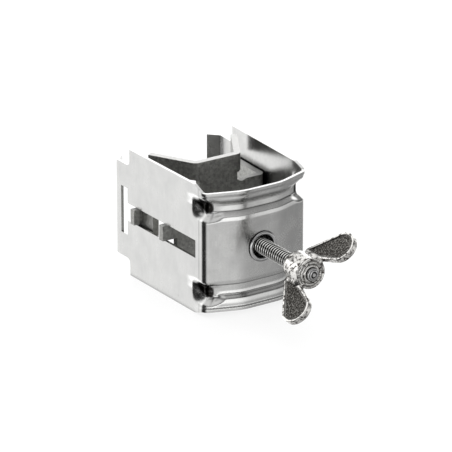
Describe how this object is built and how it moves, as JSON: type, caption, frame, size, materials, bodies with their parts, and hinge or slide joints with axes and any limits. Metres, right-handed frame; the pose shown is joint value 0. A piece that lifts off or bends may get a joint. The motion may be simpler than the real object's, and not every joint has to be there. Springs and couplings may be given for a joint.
{
  "type": "pole clamp",
  "caption": "Folded sheet-metal clamp that holds an upright pole between inward flanges and a V jaw, which a wing screw pushes along guide slots.",
  "frame": {"origin": "on the plane of the lower wall edges, under the middle of the bounding box at rest", "axes": "+Y along the screw axis from the wing head to the pole, +Z along the pole, +X to the right seen from the wing head"},
  "size_m": [0.0664, 0.146, 0.067],
  "materials": {
    "satin_sheet": "bright galvanised sheet, satin",
    "bush_steel": "turned and zinc plated",
    "galvanised_plate": "dull grey plate",
    "washer_steel": "zinc plated",
    "rear_washer_steel": "zinc plated",
    "thread_steel": "zinc plated thread",
    "clip_steel": "dark spring steel",
    "cast_nickel": "nickel plated casting, grainy faces and worn bright edges"
  },
  "bodies": {
    "clamp": {"clamp_body": "satin_sheet", "threaded_bush": "bush_steel"},
    "jaw": {"pressure_jaw": "galvanised_plate", "thrust_washer": "washer_steel", "rear_washer": "rear_washer_steel"},
    "screw": {"screw_spindle": "thread_steel", "wing_head": "cast_nickel", "retaining_clip": "clip_steel"}
  },
  "joints": [
    {"name": "jaw_slide", "type": "slide", "parent": "clamp", "child": "jaw", "axis": [0, 1, 0], "range_m": [-0.022, 0.0115]},
    {"name": "screw_turn", "type": "hinge", "parent": "jaw", "child": "screw", "pos_m": [0, -0.01629, 0.0335], "axis": [0, 1, 0], "range_deg": [-4530, 2370]}
  ],
  "couplings": [
    {"joint": "screw_turn", "follows": "jaw_slide", "rad_per_m": 3590.4}
  ]
}
